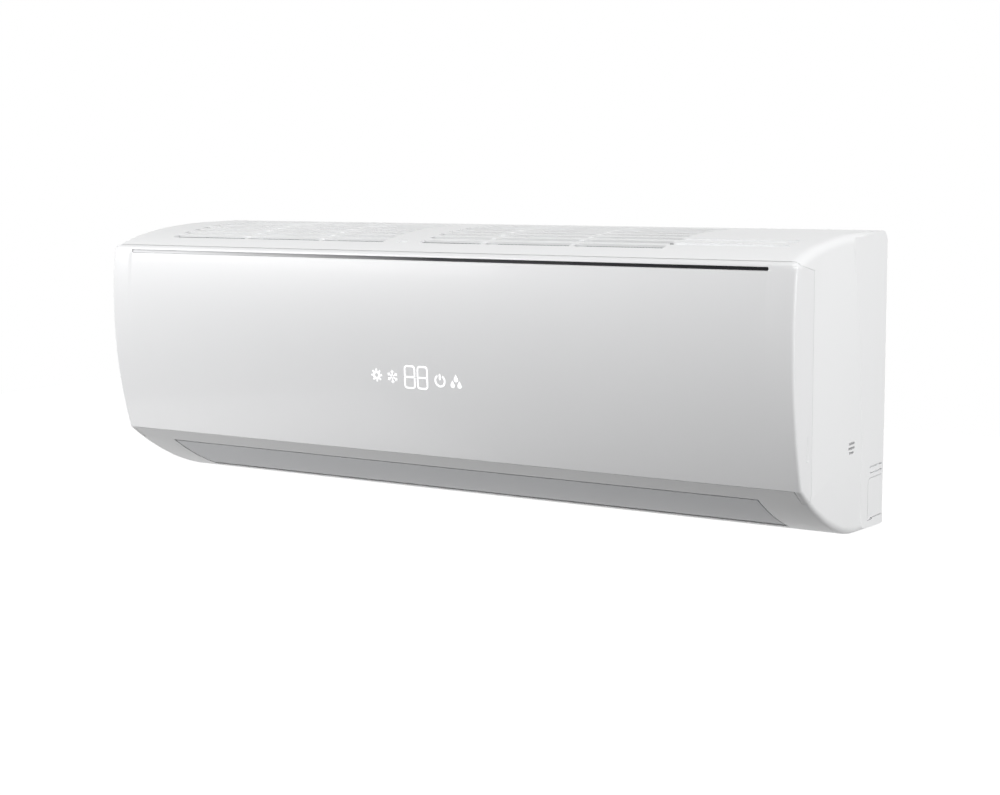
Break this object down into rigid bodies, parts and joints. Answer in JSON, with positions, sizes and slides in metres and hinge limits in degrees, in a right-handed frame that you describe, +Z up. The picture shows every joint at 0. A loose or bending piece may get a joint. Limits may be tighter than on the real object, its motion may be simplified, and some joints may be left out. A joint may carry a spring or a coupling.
{
  "type": "mini split indoor unit",
  "caption": "Wall-mounted air conditioner indoor unit: bowed front panel over filters and coil, cross-flow fan, swinging outlet louvre and linked vanes",
  "frame": {"origin": "centre of the wall plate's flat back face, which lies on the wall", "axes": "+X along the unit to its right end as seen from the room, +Y into the wall, +Z up"},
  "size_m": [0.79, 0.2143, 0.2775],
  "materials": {
    "casing_white": "smooth gloss white",
    "panel_silver": "satin silver white",
    "trim_dark": "polished dark strip",
    "light_guide": "milky",
    "circuit_board": "lacquered board",
    "inner_grey": "moulded grey",
    "inner_white": "moulded white",
    "inner_black": "moulded black",
    "fins": "fin stack",
    "copper": "drawn copper tube",
    "brass": "machined brass",
    "zinc_steel": "zinc coated",
    "shaft_steel": "ground",
    "rubber": "moulded rubber",
    "mesh_grey": "woven screen"
  },
  "bodies": {
    "body": {"front_casing": "casing_white", "rear_chassis": "inner_grey", "drain_pan": "inner_grey", "drain_plug": "rubber", "evaporator_lower": "fins", "evaporator_upper": "fins", "evaporator_rear": "fins", "coil_tubes": "copper", "tube_plate_left": "zinc_steel", "tube_plate_right": "zinc_steel", "fan_motor": "inner_white", "motor_clamp": "zinc_steel", "bearing_cup": "rubber", "bearing_bush": "inner_grey", "wall_plate": "zinc_steel", "control_box": "inner_white", "control_box_cover": "zinc_steel", "main_board": "circuit_board", "transformer": "inner_black", "terminal_block": "inner_white", "terminal_cover": "inner_white", "louvre_motor": "zinc_steel", "room_sensor": "inner_white", "aux_switch": "inner_black", "pipe_knockout_right": "casing_white", "pipe_knockout_left": "casing_white", "gas_pipe": "copper", "liquid_pipe": "copper", "gas_flare_nut": "brass", "liquid_flare_nut": "brass", "casing_screw_left": "shaft_steel", "casing_screw_centre": "shaft_steel", "casing_screw_right": "shaft_steel"},
    "panel": {"front_panel": "panel_silver", "panel_trim": "trim_dark", "display_light_guide": "light_guide", "display_board": "circuit_board"},
    "louvre": {"louvre": "panel_silver"},
    "fan": {"crossflow_fan": "inner_black", "motor_shaft": "shaft_steel"},
    "filter_left": {"filter_frame_left": "inner_white", "filter_mesh_left": "mesh_grey"},
    "filter_right": {"filter_frame_right": "inner_white", "filter_mesh_right": "mesh_grey"},
    "button": {"aux_button": "inner_white"},
    "link_left": {"vane_link_left": "inner_white"},
    "link_right": {"vane_link_right": "inner_white"},
    "vane_left_1": {"vane_left_1": "inner_white"},
    "vane_left_2": {"vane_left_2": "inner_white"},
    "vane_left_3": {"vane_left_3": "inner_white"},
    "vane_left_4": {"vane_left_4": "inner_white"},
    "vane_left_5": {"vane_left_5": "inner_white"},
    "vane_right_1": {"vane_right_1": "inner_white"},
    "vane_right_2": {"vane_right_2": "inner_white"},
    "vane_right_3": {"vane_right_3": "inner_white"},
    "vane_right_4": {"vane_right_4": "inner_white"},
    "vane_right_5": {"vane_right_5": "inner_white"}
  },
  "joints": [
    {"name": "panel_hinge", "type": "hinge", "parent": "body", "child": "panel", "pos_m": [0, -0.20377, 0.11331], "axis": [-1, 0, 0], "range_deg": [0, 60]},
    {"name": "louvre_hinge", "type": "hinge", "parent": "body", "child": "louvre", "pos_m": [0, -0.12407, -0.11208], "axis": [1, 0, 0], "range_deg": [0, 68]},
    {"name": "fan_spin", "type": "hinge", "parent": "body", "child": "fan", "pos_m": [0, -0.098, -0.02], "axis": [1, 0, 0], "continuous": true},
    {"name": "filter_left_slide", "type": "hinge", "parent": "body", "child": "filter_left", "pos_m": [-0.199, 0.217, 0.05], "axis": [-1, 0, 0], "range_deg": [0, 1.3]},
    {"name": "filter_right_slide", "type": "hinge", "parent": "body", "child": "filter_right", "pos_m": [0.101, 0.217, 0.05], "axis": [-1, 0, 0], "range_deg": [0, 1.3]},
    {"name": "vane_left_1_turn", "type": "hinge", "parent": "body", "child": "vane_left_1", "pos_m": [-0.2945, -0.08242, -0.10624], "axis": [0, -0.6372, 0.7707], "range_deg": [-30, 30]},
    {"name": "vane_left_2_turn", "type": "hinge", "parent": "body", "child": "vane_left_2", "pos_m": [-0.2385, -0.08242, -0.10624], "axis": [0, -0.6372, 0.7707], "range_deg": [-30, 30]},
    {"name": "vane_left_3_turn", "type": "hinge", "parent": "body", "child": "vane_left_3", "pos_m": [-0.1825, -0.08242, -0.10624], "axis": [0, -0.6372, 0.7707], "range_deg": [-30, 30]},
    {"name": "vane_left_4_turn", "type": "hinge", "parent": "body", "child": "vane_left_4", "pos_m": [-0.1265, -0.08242, -0.10624], "axis": [0, -0.6372, 0.7707], "range_deg": [-30, 30]},
    {"name": "vane_left_5_turn", "type": "hinge", "parent": "body", "child": "vane_left_5", "pos_m": [-0.0705, -0.08242, -0.10624], "axis": [0, -0.6372, 0.7707], "range_deg": [-30, 30]},
    {"name": "vane_right_1_turn", "type": "hinge", "parent": "body", "child": "vane_right_1", "pos_m": [-0.0225, -0.08242, -0.10624], "axis": [0, -0.6372, 0.7707], "range_deg": [-30, 30]},
    {"name": "vane_right_2_turn", "type": "hinge", "parent": "body", "child": "vane_right_2", "pos_m": [0.0335, -0.08242, -0.10624], "axis": [0, -0.6372, 0.7707], "range_deg": [-30, 30]},
    {"name": "vane_right_3_turn", "type": "hinge", "parent": "body", "child": "vane_right_3", "pos_m": [0.0895, -0.08242, -0.10624], "axis": [0, -0.6372, 0.7707], "range_deg": [-30, 30]},
    {"name": "vane_right_4_turn", "type": "hinge", "parent": "body", "child": "vane_right_4", "pos_m": [0.1455, -0.08242, -0.10624], "axis": [0, -0.6372, 0.7707], "range_deg": [-30, 30]},
    {"name": "vane_right_5_turn", "type": "hinge", "parent": "body", "child": "vane_right_5", "pos_m": [0.2015, -0.08242, -0.10624], "axis": [0, -0.6372, 0.7707], "range_deg": [-30, 30]},
    {"name": "link_left_pivot", "type": "hinge", "parent": "vane_left_1", "child": "link_left", "pos_m": [-0.2945, -0.12211, -0.08649], "axis": [0, -0.6372, 0.7707], "range_deg": [-30, 30]},
    {"name": "link_right_pivot", "type": "hinge", "parent": "vane_right_1", "child": "link_right", "pos_m": [-0.0225, -0.12211, -0.08649], "axis": [0, -0.6372, 0.7707], "range_deg": [-30, 30]},
    {"name": "button_press", "type": "slide", "parent": "body", "child": "button", "axis": [0, 1, 0], "range_m": [0, 0.0012], "stiffness_N_per_m": 300, "springref_m": -0.0005}
  ],
  "couplings": [
    {"joint": "vane_left_2_turn", "follows": "vane_left_1_turn", "ratio": 1},
    {"joint": "vane_left_3_turn", "follows": "vane_left_1_turn", "ratio": 1},
    {"joint": "vane_left_4_turn", "follows": "vane_left_1_turn", "ratio": 1},
    {"joint": "vane_left_5_turn", "follows": "vane_left_1_turn", "ratio": 1},
    {"joint": "vane_right_2_turn", "follows": "vane_right_1_turn", "ratio": 1},
    {"joint": "vane_right_3_turn", "follows": "vane_right_1_turn", "ratio": 1},
    {"joint": "vane_right_4_turn", "follows": "vane_right_1_turn", "ratio": 1},
    {"joint": "vane_right_5_turn", "follows": "vane_right_1_turn", "ratio": 1},
    {"joint": "link_left_pivot", "follows": "vane_left_1_turn", "ratio": -1},
    {"joint": "link_right_pivot", "follows": "vane_right_1_turn", "ratio": -1}
  ]
}
